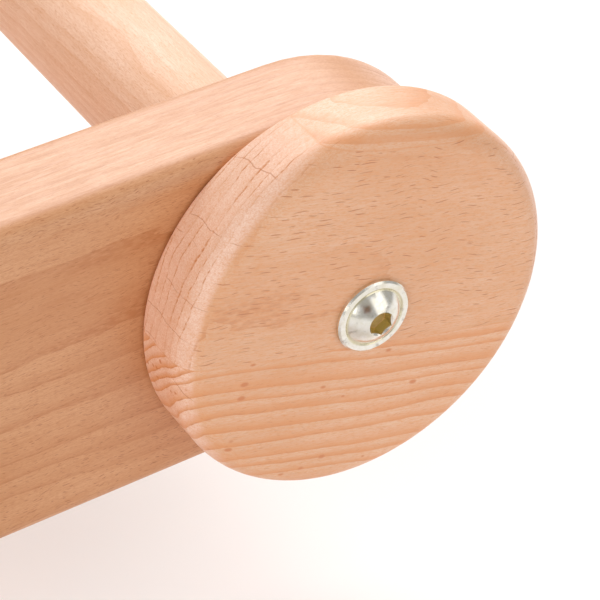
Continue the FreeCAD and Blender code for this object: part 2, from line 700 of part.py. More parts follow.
def make_frame_fasteners():
    corners = [(turned, side) for turned in (False, True) for side in ("-", "")]
    bolt_places = []
    nut_places = []
    for turned, side in corners:
        for face, rotation in ((1, ALONG_X), (-1, ALONG_MINUS_X)):
            along = "-stretcher_offset" + (side or "+") + "frame_bolt_spacing / 2"
            outer_face = "%d * (inner_width / 2 + rail_thickness)" % face
            bolt_places.append(((outer_face, along, STRETCHER_HEIGHT), rotation, turned))
            nut_axis = "%d * (inner_width / 2 - barrel_inset)" % face
            nut_places.append(((nut_axis, along, STRETCHER_HEIGHT), UPRIGHT, turned))
    keep_group("stretcher_bolts", button_bolt("frame_bolt"), bolt_places)
    keep_group("stretcher_barrel_nuts", barrel_nut(), nut_places)

    leg_places = [(side + RAIL_MIDDLE, turned) for turned in (False, True) for side in ("-", "")]
    keep_group("leg_hanger_bolts", hanger_bolt(),
               [((across, "-" + LEG_PLACE, RAIL_BOTTOM), UPRIGHT, turned) for across, turned in leg_places])
    keep_group("leg_pads", leg_pad(),
               [((across, "-" + LEG_PLACE, "0"), UPRIGHT, turned) for across, turned in leg_places])

    screw_places = []
    for face, rotation in ((1, ALONG_MINUS_X), (-1, ALONG_X)):
        for along, up in stand_screw_spots():
            inner_face = "%d * (inner_width / 2 - stand_thickness)" % face
            screw_places.append(((inner_face, along, AXIS_HEIGHT + " + " + up), rotation, False))
    keep_group("stand_screws", countersunk_screw("stand_screw"), screw_places)

    pivot_along = BEAM_PLACE + " + " + PAWL_REACH
    pivot_up = AXIS_HEIGHT + " + pawl_rise"
    head_seat = "inner_width / 2 - washer_thickness - 2 * pivot_play - pawl_thickness"
    keep_group("pawl_pivot_bolts", pivot_bolt(),
               [((head_seat, pivot_along, pivot_up), ALONG_MINUS_X, turned) for turned in (False, True)])
    keep_group("pawl_washers", pivot_washer(),
               [(("inner_width / 2", pivot_along, pivot_up), ALONG_MINUS_X, turned)
                for turned in (False, True)])


# ---- beam units, made about the front beam's axis --------------------------------------------------

def beam(label, turned):
    """A round beam with a tenon at each end, squared where it sits in the hand wheel."""
    shaft = new_body(label)
    barrel = new_sketch(shaft, "YZ_Plane")
    add_circle(barrel, "beam_diameter")
    add_pad(shaft, barrel, "inner_width - 2 * beam_play", both_ways=True)
    tenons = new_sketch(shaft, "YZ_Plane")
    add_circle(tenons, "tenon_diameter")
    add_pad(shaft, tenons, "inner_width + 2 * rail_thickness + 2 * wheel_gap", both_ways=True)
    squares = new_sketch(shaft, "YZ_Plane")
    add_rectangle(squares, "tenon_square", "tenon_square")
    add_pad(shaft, squares, "2 * " + TENON_END, both_ways=True)
    for end in (-1, 1):
        insert_bore = new_sketch(shaft, "YZ_Plane", "%d * " % end + TENON_END)
        add_circle(insert_bore, "insert_diameter")
        add_pocket(shaft, insert_bore, "beam_bolt_length", along_normal=end < 0)
    rebate = new_sketch(shaft, "XY_Plane", STRIP_FLOOR)
    add_rectangle(rebate, "(strip_length + 2 * seat_clearance)", "(strip_width + 2 * seat_clearance)")
    add_pocket(shaft, rebate, "beam_diameter / 2", along_normal=True)
    strip_pilots = new_sketch(shaft, "XY_Plane", STRIP_FLOOR)
    for across in strip_screw_spots():
        add_circle(strip_pilots, "strip_screw_diameter", (across, "0"))
    add_pocket(shaft, strip_pilots, "strip_screw_length - strip_thickness")
    pin_hole = new_sketch(shaft, "XY_Plane", "-ratchet_pin_inset")
    add_circle(pin_hole, "ratchet_pin_diameter", (RATCHET_MIDDLE, "0"))
    add_pocket(shaft, pin_hole, "beam_diameter / 2")
    keep(shaft, ("0", BEAM_PLACE, AXIS_HEIGHT), STRIP_DOWN, turned)


def strip_screw_spots():
    return ["-strip_screw_spacing", "0", "strip_screw_spacing"]


def hand_wheel(label, side, turned):
    """A thick round wheel with a rounded front edge, socketed at the back for the squared tenon."""
    wheel = new_body(label)
    blank = new_sketch(wheel, "YZ_Plane")
    add_circle(blank, "wheel_diameter")
    add_pad(wheel, blank, "wheel_thickness", both_ways=True)
    width, front = size("wheel_diameter"), size("wheel_thickness") / 2
    round_edges(wheel, "wheel_edge", lambda edge: is_ring(edge, width, front))
    round_edges(wheel, "wheel_back_edge", lambda edge: is_ring(edge, width, -front))
    socket = new_sketch(wheel, "YZ_Plane", "-wheel_thickness / 2")
    square = "(tenon_square + 2 * seat_clearance)"
    add_rectangle(socket, square, square)
    add_pocket(wheel, socket, "socket_depth + seat_clearance", along_normal=True)
    bolt_hole = new_sketch(wheel, "YZ_Plane")
    add_circle(bolt_hole, "beam_bolt_diameter + 2 * bolt_clearance")
    add_through_cut(wheel, bolt_hole)
    middle = "%d * (inner_width / 2 + rail_thickness + wheel_gap + wheel_thickness / 2)" % side
    facing = STRIP_DOWN if side > 0 else STRIP_DOWN * HALF_TURN
    keep(wheel, (middle, BEAM_PLACE, AXIS_HEIGHT), facing, turned)


def ratchet_wheel(label, turned):
    """A toothed wheel on the beam; each tooth has one radial face and one sloping back."""
    wheel = new_body(label)
    blank = new_sketch(wheel, "YZ_Plane")
    add_circle(blank, "ratchet_diameter")
    add_circle(blank, "beam_diameter + 2 * seat_clearance")
    add_pad(wheel, blank, "ratchet_thickness", both_ways=True)
    gap = new_sketch(wheel, "YZ_Plane")
    add_outline(gap, [
        (ROOT_RADIUS, "0"), (TIP_RADIUS + " + 2 * tooth_overcut", "0"),
        polar("(" + TIP_RADIUS + " + tooth_overcut)", "tooth_land - " + TOOTH_PITCH)])
    first_gap = add_through_cut(wheel, gap)
    teeth = wheel.newObject("PartDesign::PolarPattern", wheel.Name + "_teeth")
    teeth.Originals = [first_gap]
    teeth.Axis = (gap, ["N_Axis"])
    teeth.Angle = 360
    teeth.setExpression("Occurrences", formula("ratchet_teeth"))
    wheel.Tip = teeth
    pin_hole = new_sketch(wheel, "XY_Plane")
    add_circle(pin_hole, "ratchet_pin_diameter")
    add_pocket(wheel, pin_hole, "ratchet_diameter")
    keep(wheel, (RATCHET_MIDDLE, BEAM_PLACE, AXIS_HEIGHT), STRIP_DOWN, turned)


def clamp_strip(label, turned):
    """A strip of wood, screwed into the beam's rebate over the ends of the warp."""
    strip = new_body(label)
    blank = new_sketch(strip, "XY_Plane", STRIP_FLOOR)
    add_rectangle(blank, "strip_length", "strip_width")
    add_pad(strip, blank, "strip_thickness")
    top = size("beam_diameter") / 2 - size("strip_sink")
    round_edges(strip, "board_edge / 2", lambda edge: is_across(edge, Vector(0, 0, 1))
                and abs(edge.BoundBox.ZMin - top) < 1e-4)
    screw_holes = new_sketch(strip, "XY_Plane", STRIP_TOP)
    for across in strip_screw_spots():
        add_circle(screw_holes, "strip_screw_diameter", (across, "0"))
    add_countersunk_holes(strip, screw_holes, "strip_screw_diameter", "strip_screw_head")
    keep(strip, ("0", BEAM_PLACE, AXIS_HEIGHT), STRIP_DOWN, turned)


def pawl(label, turned):
    """A pawl that drops its nose into the ratchet wheel, with a tab for the finger."""
    arm = new_body(label)
    boss = new_sketch(arm, "YZ_Plane")
    pivot = (PAWL_REACH, "pawl_rise")
    add_circle(boss, "pawl_boss", pivot)
    add_pad(arm, boss, "pawl_thickness", both_ways=True)
    profile = new_sketch(arm, "YZ_Plane")
    lean_across, lean_up = polar("pawl_boss / 2", "pawl_lean")
    add_outline(profile, [
        polar("(" + ROOT_RADIUS + " + nose_lift)", "pawl_angle - nose_turn"),
        polar(TIP_RADIUS, "pawl_angle - nose_width * " + TOOTH_PITCH),
        polar("(" + TIP_RADIUS + " + throat_lift)", "pawl_angle - throat_width * " + TOOTH_PITCH),
        (pivot[0] + " - " + lean_across, pivot[1] + " - " + lean_up),
        (pivot[0] + " + " + lean_across, pivot[1] + " + " + lean_up),
        polar("(" + TIP_RADIUS + " + pawl_tab / 2)", "pawl_angle - " + TOOTH_PITCH),
        polar("(" + TIP_RADIUS + " + pawl_tab)", "pawl_angle - tab_width * " + TOOTH_PITCH),
        polar("(" + TIP_RADIUS + " + pawl_tab)", "pawl_angle"),
        polar("(" + TIP_RADIUS + " + pawl_tab / 3)", "pawl_angle")])
    add_pad(arm, profile, "pawl_thickness", both_ways=True)
    bore = new_sketch(arm, "YZ_Plane")
    add_circle(bore, "pivot_diameter + 2 * pivot_clearance", pivot)
    add_through_cut(arm, bore)
    round_edges(arm, "pawl_edge", lambda edge: is_across(edge, Vector(1, 0, 0)))
    middle = "inner_width / 2 - washer_thickness - pivot_play - pawl_thickness / 2"
    keep(arm, (middle, BEAM_PLACE, AXIS_HEIGHT), turned=turned)


def make_beam_units():
    bolt = button_bolt("beam_bolt")
    insert = threaded_insert()
    screw = countersunk_screw("strip_screw")
    pin = ratchet_pin()
    for name, turned in (("cloth", False), ("warp", True)):
        sides = (("right", 1), ("left", -1)) if not turned else (("left", 1), ("right", -1))
        beam(name + "_beam", turned)
        for side_name, side in sides:
            hand_wheel(name + "_handwheel_" + side_name, side, turned)
        ratchet_wheel(name + "_ratchet_wheel", turned)
        clamp_strip(name + "_clamp_strip", turned)
        pawl(name + "_pawl", turned)
        wheel_face = "(inner_width / 2 + rail_thickness + wheel_gap + wheel_thickness)"
        ends = ((1, ALONG_X), (-1, ALONG_MINUS_X))
        keep_group(name + "_beam_bolts", bolt,
                   [(("%d * " % end + wheel_face, BEAM_PLACE, AXIS_HEIGHT), rotation, turned)
                    for end, rotation in ends])
        keep_group(name + "_beam_inserts", insert,
                   [(("%d * " % end + TENON_END, BEAM_PLACE, AXIS_HEIGHT), rotation, turned)
                    for end, rotation in ends])
        keep_group(name + "_ratchet_pin", pin,
                   [((RATCHET_MIDDLE, BEAM_PLACE, AXIS_HEIGHT), STRIP_DOWN * UPSIDE_DOWN, turned)])
        screw_along = BEAM_PLACE + " - " + STRIP_TOP + " * sin(45)"
        screw_up = AXIS_HEIGHT + " - " + STRIP_TOP + " * sin(45)"
        keep_group(name + "_clamp_screws", screw,
                   [((across, screw_along, screw_up), STRIP_DOWN, turned) for across in strip_screw_spots()])


# ---- heddle, standing in the lower rests -----------------------------------------------------------

def heddle_bar(label, length, height, base, groove_up):
    """A bar of the heddle, grooved along one side for the reed and drilled at both ends."""
    bar = new_body(label)
    blank = new_sketch(bar, "XY_Plane")
    add_rectangle(blank, length, "heddle_bar_thickness")
    add_pad(bar, blank, height)
    round_edges(bar, "heddle_edge", lambda edge: is_along(edge, Vector(1, 0, 0)))
    groove = new_sketch(bar, "XY_Plane", height if groove_up else "0")
    add_rectangle(groove, REED_WIDTH, "(reed_thickness + 2 * seat_clearance)")
    add_pocket(bar, groove, "reed_margin + seat_clearance", along_normal=not groove_up)
    screw_holes = new_sketch(bar, "XY_Plane", "0" if groove_up else height)
    for end in ("-", ""):
        add_circle(screw_holes, "heddle_screw_diameter", (end + heddle_end_place(), "0"))
    add_countersunk_holes(bar, screw_holes, "heddle_screw_diameter", "heddle_screw_head",
                          along_normal=groove_up)
    keep(bar, ("0", "0", base))


def heddle_end_place():
    return "(" + REED_WIDTH + " / 2 + heddle_end_width / 2)"


def heddle_end(label, side):
    """An upright strip between the heddle's bars, at one end of the reed."""
    strip = new_body(label)
    blank = new_sketch(strip, "XY_Plane")
    add_rectangle(blank, "heddle_end_width", "heddle_bar_thickness")
    add_pad(strip, blank, "reed_height")
    round_edges(strip, "heddle_edge", lambda edge: is_along(edge, Vector(0, 0, 1)))
    for level, along_normal in (("0", True), ("reed_height", False)):
        pilot = new_sketch(strip, "XY_Plane", level)
        add_circle(pilot, "heddle_screw_diameter")
        depth = "heddle_screw_length - " + ("heddle_bottom_height" if level == "0" else "heddle_bar_height")
        add_pocket(strip, pilot, depth, along_normal=along_normal)
    keep(strip, (side + heddle_end_place(), "0", HEDDLE_BASE + " - reed_height"))


def reed_segment(label, number):
    """A moulded comb: a slot between each two bars, and an eye in the middle of each bar."""
    plate = new_body(label)
    blank = new_sketch(plate, "XZ_Plane")
    add_rectangle(blank, "reed_length", "(reed_height + 2 * reed_margin)")
    add_pad(plate, blank, "reed_thickness", both_ways=True)
    count = "floor(reed_length / reed_pitch)"
    first = "-reed_length / 2 + reed_pitch / 2"
    for height, place_of_first, occurrences in (
            ("reed_height", first, count), ("reed_eye", first + " + reed_pitch / 2", count + " - 1")):
        opening = new_sketch(plate, "XZ_Plane")
        add_rectangle(opening, "reed_slot", height, (place_of_first, "0"))
        first_opening = add_through_cut(plate, opening)
        row = plate.newObject("PartDesign::LinearPattern", plate.Name + "_row")
        row.Originals = [first_opening]
        row.Direction = (opening, ["H_Axis"])
        row.Mode = "Spacing"
        row.setExpression("Offset", formula("reed_pitch"))
        row.setExpression("Occurrences", formula(occurrences))
        plate.Tip = row
    across = "reed_length * (%d + 0.5 - reed_segments / 2)" % number
    keep(plate, (across, "0", HEDDLE_BASE + " - reed_height / 2"))


def make_heddle():
    heddle_bar("heddle_top_bar", "(inner_width - 2 * heddle_side_play)", "heddle_bar_height",
               HEDDLE_BASE, groove_up=False)
    heddle_bar("heddle_bottom_bar", "(2 * " + heddle_end_place() + " + heddle_end_width)",
               "heddle_bottom_height", HEDDLE_BASE + " - reed_height - heddle_bottom_height", groove_up=True)
    heddle_end("heddle_end_left", "-")
    heddle_end("heddle_end_right", "")
    for number in range(int(size("reed_segments"))):
        reed_segment("heddle_reed_%d" % (number + 1), number)
    top = HEDDLE_BASE + " + heddle_bar_height"
    bottom = HEDDLE_BASE + " - reed_height - heddle_bottom_height"
    keep_group("heddle_screws", countersunk_screw("heddle_screw"),
               [((side + heddle_end_place(), "0", level), rotation, False)
                for side in ("-", "") for level, rotation in ((top, UPRIGHT), (bottom, UPSIDE_DOWN))])


# ---- checks and files ------------------------------------------------------------------------------

def check_document():
    """Stop if any feature failed, any cut removed nothing, or any sub-part is not a sound solid."""
    for item in document.Objects:
        if "Invalid" in item.State or "Error" in item.State:
            raise RuntimeError(item.Name + " did not compute")
        if item.TypeId in ("PartDesign::Pocket", "PartDesign::Hole"):
            if item.Shape.Volume > item.BaseFeature.Shape.Volume - 1e-3:
                raise RuntimeError(item.Name + " removed nothing")
    for node in nodes:
        if node.Shape.isNull() or not node.Shape.isValid() or not node.Shape.Solids:
            raise RuntimeError(node.Label + " is not a sound solid")


def write_nodes():
    os.makedirs("parts", exist_ok=True)
    for node in nodes:
        node.Shape.exportStep(os.path.join("parts", node.Label + ".step"))
        print("%-26s %d solid(s)  %10.1f mm3" % (node.Label, len(node.Shape.Solids), node.Shape.Volume))


fill_sheet()
make_frame()
make_frame_fasteners()
make_beam_units()
make_heddle()
document.recompute()
check_document()
write_nodes()
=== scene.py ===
"""The look of the table loom: beech, plywood, zinc-plated steel, moulded plastic and rubber.

Lengths are in metres, except inside the wood materials, which work in millimetres.
"""
import json
from math import cos, radians, sin

import bpy
from mathutils import Matrix, Vector


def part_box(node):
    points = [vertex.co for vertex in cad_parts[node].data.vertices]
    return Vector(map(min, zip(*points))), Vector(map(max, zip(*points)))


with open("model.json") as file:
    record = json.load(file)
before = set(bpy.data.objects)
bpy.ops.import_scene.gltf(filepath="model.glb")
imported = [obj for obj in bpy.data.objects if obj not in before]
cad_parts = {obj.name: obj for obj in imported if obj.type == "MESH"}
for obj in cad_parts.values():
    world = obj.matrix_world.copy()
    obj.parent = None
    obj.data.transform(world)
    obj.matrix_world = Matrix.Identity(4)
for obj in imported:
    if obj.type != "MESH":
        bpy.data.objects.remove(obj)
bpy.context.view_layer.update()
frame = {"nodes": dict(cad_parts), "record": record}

NODES = frame["nodes"]
MM = 0.001
WORLD_LIGHT = 0.47
BOARD_GLOSS = 0.9               # specular level of sanded and oiled boards
BEAM_GLOSS = 0.2                # and of the turned beams
WHEEL_GLUE_LINES = (-7.9, 40.1) # mm across the grain from a hand wheel's axis
PLY_LAYERS = 2.8                # mm from one dark layer of plywood to the next
GROOVE_RADIUS = 6.8             # mm, where a beam bolt's dome meets its collar
SOCKET_RADIUS = 3.0             # mm, just outside the bolt's hexagon socket

X = Vector((1, 0, 0))
Y = Vector((0, 1, 0))
Z = Vector((0, 0, 1))


def middle(node):
    """The middle of a CAD node's box."""
    low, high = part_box(node)
    return (Vector(low) + Vector(high)) / 2


def in_plane(angle):
    """A direction in the YZ plane, that many degrees up from +Y."""
    return Vector((0, cos(radians(angle)), sin(radians(angle))))


# ---- materials: node helpers ----------------------------------------------------------------------

class Shader:
    """A material with a Principled surface, and one short call for each kind of node."""

    def __init__(self, name):
        self.material = bpy.data.materials.new(name)
        self.material.use_nodes = True
        self.tree = self.material.node_tree
        self.surface = self.tree.nodes["Principled BSDF"]
        self.place = self.add("ShaderNodeTexCoord")

    def add(self, kind, **settings):
        node = self.tree.nodes.new(kind)
        for name, value in settings.items():
            setattr(node, name, value)
        return node

    def put(self, socket, value):
        """Link an output to the socket, or set the socket's own value."""
        if isinstance(value, bpy.types.NodeSocket):
            self.tree.links.new(value, socket)
        else:
            socket.default_value = value

    def math(self, operation, first, second=0.0, third=0.0, clamp=False):
        node = self.add("ShaderNodeMath", operation=operation, use_clamp=clamp)
        for socket, value in zip(node.inputs, (first, second, third)):
            self.put(socket, value)
        return node.outputs[0]

    def vector(self, operation, first, second=(0, 0, 0)):
        node = self.add("ShaderNodeVectorMath", operation=operation)
        self.put(node.inputs[0], first)
        self.put(node.inputs[1], second)
        return node.outputs["Value" if operation in ("DOT_PRODUCT", "LENGTH", "DISTANCE") else "Vector"]

    def combine(self, x, y, z):
        node = self.add("ShaderNodeCombineXYZ")
        for socket, value in zip(node.inputs, (x, y, z)):
            self.put(socket, value)
        return node.outputs[0]

    def separate(self, vector):
        node = self.add("ShaderNodeSeparateXYZ")
        self.put(node.inputs[0], vector)
        return node.outputs

    def noise(self, vector, scale=1.0, detail=2.0, roughness=0.5, distortion=0.0):
        """Smooth noise from 0 to 1, about 0.5 on average."""
        node = self.add("ShaderNodeTexNoise")
        self.put(node.inputs["Vector"], vector)
        self.put(node.inputs["Scale"], scale)
        self.put(node.inputs["Detail"], detail)
        self.put(node.inputs["Roughness"], roughness)
        self.put(node.inputs["Distortion"], distortion)
        return node.outputs[0]

    def band(self, value, low, high, start=0.0, end=1.0, smooth=True):
        """A ramp from start to end while the value goes from low to high."""
        node = self.add("ShaderNodeMapRange", interpolation_type="SMOOTHSTEP" if smooth else "LINEAR")
        self.put(node.inputs["Value"], value)
        for name, number in zip(("From Min", "From Max", "To Min", "To Max"), (low, high, start, end)):
            self.put(node.inputs[name], number)
        return node.outputs[0]

    def mix(self, share, first, second, blend="MIX"):
        """A colour between two, or the second blended over the first."""
        node = self.add("ShaderNodeMix", data_type="RGBA", blend_type=blend)
        self.put(node.inputs["Factor"], share)
        self.put(node.inputs[6], first)
        self.put(node.inputs[7], second)
        return node.outputs[2]

    def bump(self, height, distance, strength=1.0, normal=None):
        node = self.add("ShaderNodeBump")
        self.put(node.inputs["Height"], height)
        self.put(node.inputs["Distance"], distance)
        self.put(node.inputs["Strength"], strength)
        if normal is not None:
            self.put(node.inputs["Normal"], normal)
        return node.outputs[0]

    def finish(self, **sockets):
        """Set or link the Principled surface's sockets, named with _ for a space."""
        for name, value in sockets.items():
            self.put(self.surface.inputs[name.replace("_", " ")], value)
        return self.material


def rgb(red, green, blue):
    """A linear colour from the usual 0 to 255 display values."""
    def linear(value):
        value /= 255
        return value / 12.92 if value <= 0.04045 else ((value + 0.055) / 1.055) ** 2.4
    return (linear(red), linear(green), linear(blue), 1)


# ---- materials: wood ------------------------------------------------------------------------------

class Palette:
    """The colours of one kind of beech."""

    def __init__(self, light, dark, ring, line, fleck, end, spot=(212, 126, 68)):
        self.light, self.dark, self.ring = rgb(*light), rgb(*dark), rgb(*ring)
        self.line, self.fleck, self.end, self.spot = rgb(*line), rgb(*fleck), rgb(*end), rgb(*spot)


PINK_BEECH = Palette(light=(235, 188, 153), dark=(222, 164, 120), ring=(226, 146, 84),
                     line=(198, 116, 58), fleck=(186, 102, 40), end=(250, 212, 190))
# The rails' tan beech is darker and more orange than the wheels': partly the boards' own tone, partly
# painted shade for the shade and warm bounced light the wheels put on the rails' faces.
TAN_BEECH = Palette(light=(222, 164, 118), dark=(208, 144, 93), ring=(192, 120, 64),
                    line=(182, 104, 46), fleck=(166, 90, 34), end=(236, 190, 160))
PALE_BEECH = Palette(light=(250, 214, 190), dark=(243, 199, 168), ring=(226, 170, 128),
                     line=(214, 150, 104), fleck=(202, 136, 90), end=(246, 208, 182))


class Stave:
    """One board of a glued panel: where its pith lies, its growth rings and its figure, in mm.

    The pith is placed from the piece's middle: out along its face's normal, and up across the grain.
    gradient and line say how dark the late wood and its last line are, fleck and dash how dark the
    long and the short rays are.
    """

    def __init__(self, pith_out, pith_up, ring=2.4, gradient=0.3, line=0.35, tone=0.0,
                 fleck=0.8, dash=0.6, spots=0.0):
        reach = (pith_out ** 2 + pith_up ** 2) ** 0.5
        self.values = (pith_out, pith_up, reach, ring, gradient, line, tone, fleck, dash, spots)


def beech(name, centre, grain, outward, staves, palette, joints=(), seed=0.0, roughness=0.46,
          specular=BOARD_GLOSS):
    """Steamed beech, solid through the piece: rings about each stave's pith, rays, fibres and end grain.

    grain and outward are unit vectors at right angles. joints are the heights of the glue lines between
    the staves, in mm across the grain from the centre, lowest first.
    """
    s = Shader(name)
    across = outward.cross(grain)
    if across.z < -1e-6 or (abs(across.z) < 1e-6 and across.y < 0):
        across = -across
    local = s.vector("SUBTRACT", s.place.outputs["Object"], tuple(centre))
    local = s.vector("SCALE", local)
    local.node.inputs["Scale"].default_value = 1 / MM
    along = s.vector("DOT_PRODUCT", local, tuple(grain))
    out = s.vector("DOT_PRODUCT", local, tuple(outward))
    up = s.vector("DOT_PRODUCT", local, tuple(across))

    # each value of a stave steps to the next stave's at a glue line
    steps = [s.math("GREATER_THAN", up, joint) for joint in joints]
    values = []
    for number, value in enumerate(staves[0].values):
        for step, lower, upper in zip(steps, staves, staves[1:]):
            change = upper.values[number] - lower.values[number]
            value = s.math("MULTIPLY_ADD", step, change, value)
        values.append(value)
    pith_out, pith_up, reach, ring, gradient, line_depth, tone, fleck, dash, spots = values
    stave_number = steps[0] if steps else 0.0
    for step in steps[1:]:
        stave_number = s.math("ADD", stave_number, step)
    lift = s.math("MULTIPLY_ADD", stave_number, 37.0, seed * 91.0)

    def place(along_scale, side_scale):
        """The point with its grain stretched, for noise that differs from stave to stave."""
        return s.combine(s.math("MULTIPLY_ADD", along, along_scale, lift),
                         s.math("MULTIPLY", out, side_scale), s.math("MULTIPLY", up, side_scale))

    # growth rings: each darkens towards its outer edge and ends in a thin broken line
    wander = s.math("SUBTRACT", s.noise(place(0.009, 0.03), 1.0, 2.0), 0.5)
    ripple = s.math("SUBTRACT", s.noise(place(0.06, 0.3), 1.0, 3.0), 0.5)
    from_pith_out = s.math("SUBTRACT", out, pith_out)
    from_pith_up = s.math("SUBTRACT", up, pith_up)
    radius = s.math("SQRT", s.math("ADD", s.math("MULTIPLY", from_pith_out, from_pith_out),
                                   s.math("MULTIPLY", from_pith_up, from_pith_up)))
    radius = s.math("MULTIPLY_ADD", wander, 9.0, radius)
    radius = s.math("MULTIPLY_ADD", ripple, 1.1, radius)
    sideways = s.math("MULTIPLY", s.math("ARCTAN2", from_pith_up, from_pith_out), reach)
    ring_count = s.math("DIVIDE", radius, ring)
    uneven = s.noise(s.combine(s.math("MULTIPLY", ring_count, 0.6), lift, 0.0), 1.0, 1.0)
    ring_place = s.math("FRACT", s.math("MULTIPLY_ADD", uneven, 1.6, ring_count))
    late = s.math("MULTIPLY", s.band(ring_place, 0.3, 0.95), gradient)
    to_line = s.math("MULTIPLY", s.math("SUBTRACT", 1.0, ring_place), ring)
    line = s.band(to_line, 0.14, 0.42, 1.0, 0.0)
    broken = s.band(s.noise(place(0.4, 1.3), 1.0, 2.0), 0.36, 0.62, 0.15, 1.0)
    patch = s.band(s.noise(place(0.035, 0.09), 1.0, 2.0), 0.4, 0.6, 0.2, 1.0)
    line = s.math("MULTIPLY", s.math("MULTIPLY", line, s.math("MULTIPLY", broken, patch)), line_depth)

    # rays: thin ribbons that point at the pith, seen as dashes, as flecks or as fine lines
    bend = s.noise(s.combine(s.math("MULTIPLY", radius, 0.12), s.math("MULTIPLY", along, 0.12), lift),
                   1.0, 1.0)
    ray_side = s.math("MULTIPLY_ADD", bend, 3.0, sideways)

    def rays(length, spacing, depth, slimness):
        """Ribbons in cells of that size along, around and towards the pith."""
        ray_place = s.combine(s.math("MULTIPLY_ADD", along, 1 / length, lift),
                              s.math("MULTIPLY", ray_side, 1 / spacing),
                              s.math("MULTIPLY", radius, 1 / depth))
        cells = s.add("ShaderNodeTexVoronoi", feature="F1")
        s.put(cells.inputs["Vector"], ray_place)
        s.put(cells.inputs["Scale"], 1.0)
        offset = s.separate(s.vector("SUBTRACT", ray_place, cells.outputs["Position"]))
        chance = s.separate(cells.outputs["Color"])
        half_length = s.math("MULTIPLY_ADD", s.math("POWER", chance[0], 2.0), 0.24, 0.14)
        half_width = s.math("MULTIPLY_ADD", chance[1], slimness / 2, slimness)
        reach_out = s.math("ADD", s.math("POWER", s.math("DIVIDE", offset[0], half_length), 2.0),
                           s.math("POWER", s.math("DIVIDE", offset[1], half_width), 2.0))
        return s.math("MULTIPLY", s.band(reach_out, 0.4, 1.1, 1.0, 0.0), s.band(chance[2], 0.2, 0.85))

    ray = s.math("MULTIPLY", rays(7.0, 1.15, 26.0, 0.065), fleck)
    short_ray = s.math("MULTIPLY", rays(2.6, 0.5, 8.0, 0.085), dash)

    # fine pores, fibres, streaks and slow clouds, all drawn out along the grain
    pores = s.noise(place(0.9, 7.0), 1.0, 2.0, 0.7)
    fibre = s.noise(place(0.14, 2.6), 1.0, 3.0, 0.65)
    streak = s.noise(place(0.018, 0.35), 1.0, 3.0)
    cloud = s.noise(place(0.03, 0.06), 1.0, 3.0)

    # end grain shows where the surface faces along the grain, and rays fade where it faces sideways
    normal = s.place.outputs["Normal"]
    facing = s.math("ABSOLUTE", s.vector("DOT_PRODUCT", normal, tuple(grain)))
    to_pith = s.math(
        "ADD", s.math("MULTIPLY", s.vector("DOT_PRODUCT", normal, tuple(outward)), from_pith_out),
        s.math("MULTIPLY", s.vector("DOT_PRODUCT", normal, tuple(across)), from_pith_up))
    to_pith = s.math("DIVIDE", s.math("ABSOLUTE", to_pith), radius)
    end_grain = s.band(facing, 0.36, 0.62)
    long_grain = s.math("SUBTRACT", 1.0, end_grain)
    speckle = s.noise(place(3.0, 4.2), 1.0, 3.0, 0.7)
    waver = s.noise(s.combine(s.math("MULTIPLY", radius, 0.25), lift, 0.0), 1.0, 2.0)
    check_cells = s.add("ShaderNodeTexVoronoi", feature="F1", voronoi_dimensions="1D")
    check_side = s.math("MULTIPLY_ADD", waver, 2.4, sideways)
    s.put(check_cells.inputs["W"], s.math("MULTIPLY", check_side, 1 / 7.0))
    s.put(check_cells.inputs["Scale"], 1.0)
    check = s.band(check_cells.outputs["Distance"], 0.006, 0.02, 1.0, 0.0)
    check = s.math("MULTIPLY", check, s.band(s.noise(place(0.02, 0.13), 1.0, 1.0), 0.44, 0.58))

    shade = s.math("MULTIPLY_ADD", s.math("SUBTRACT", cloud, 0.5), 1.9, 0.4)
    shade = s.math("MULTIPLY_ADD", s.math("SUBTRACT", streak, 0.5), 1.0, shade)
    shade = s.math("ADD", shade, tone, clamp=True)
    colour = s.mix(shade, palette.light, palette.dark)
    end_colour = s.mix(s.band(streak, 0.35, 0.8, 0.0, 0.3), palette.end, palette.dark)
    colour = s.mix(end_grain, colour, end_colour)
    colour = s.mix(late, colour, palette.ring)
    colour = s.mix(s.math("MULTIPLY", line, s.band(end_grain, 0.0, 1.0, 0.8, 1.6), clamp=True),
                   colour, palette.line)
    colour = s.mix(s.band(fibre, 0.34, 0.7, 0.0, 0.36), colour, palette.ring)
    pore_tone = s.math("MULTIPLY", s.band(pores, 0.45, 0.72, 0.0, 0.75), long_grain)
    colour = s.mix(pore_tone, colour, palette.ring)
    speckle_tone = s.math("MULTIPLY", s.band(speckle, 0.4, 0.7, 0.0, 0.55), end_grain)
    colour = s.mix(speckle_tone, colour, palette.ring)
    ray_tone = s.math("MULTIPLY", s.band(to_pith, 0.35, 0.8, 0.1, 0.85),
                      s.band(end_grain, 0.0, 1.0, 1.0, 0.25))
    for layer in (short_ray, ray):
        colour = s.mix(s.math("MULTIPLY", layer, ray_tone), colour, palette.fleck)
    colour = s.mix(s.math("MULTIPLY", s.math("MULTIPLY", check, end_grain), 0.55), colour, palette.fleck)
    if any(stave.values[-1] for stave in staves):
        knots = s.add("ShaderNodeTexVoronoi", feature="F1")
        s.put(knots.inputs["Vector"], place(0.2, 0.34))
        s.put(knots.inputs["Scale"], 1.0)
        spot_size = s.math("MULTIPLY_ADD", s.separate(knots.outputs["Color"])[0], 0.33, -0.06)
        spot = s.band(s.math("SUBTRACT", spot_size, knots.outputs["Distance"]), 0.0, 0.14)
        colour = s.mix(s.math("MULTIPLY", spot, spots), colour, palette.spot)
    for joint in joints:
        gap = s.math("ABSOLUTE", s.math("SUBTRACT", up, joint))
        colour = s.mix(s.band(gap, 0.05, 0.2, 0.4, 0.0), colour, palette.ring)

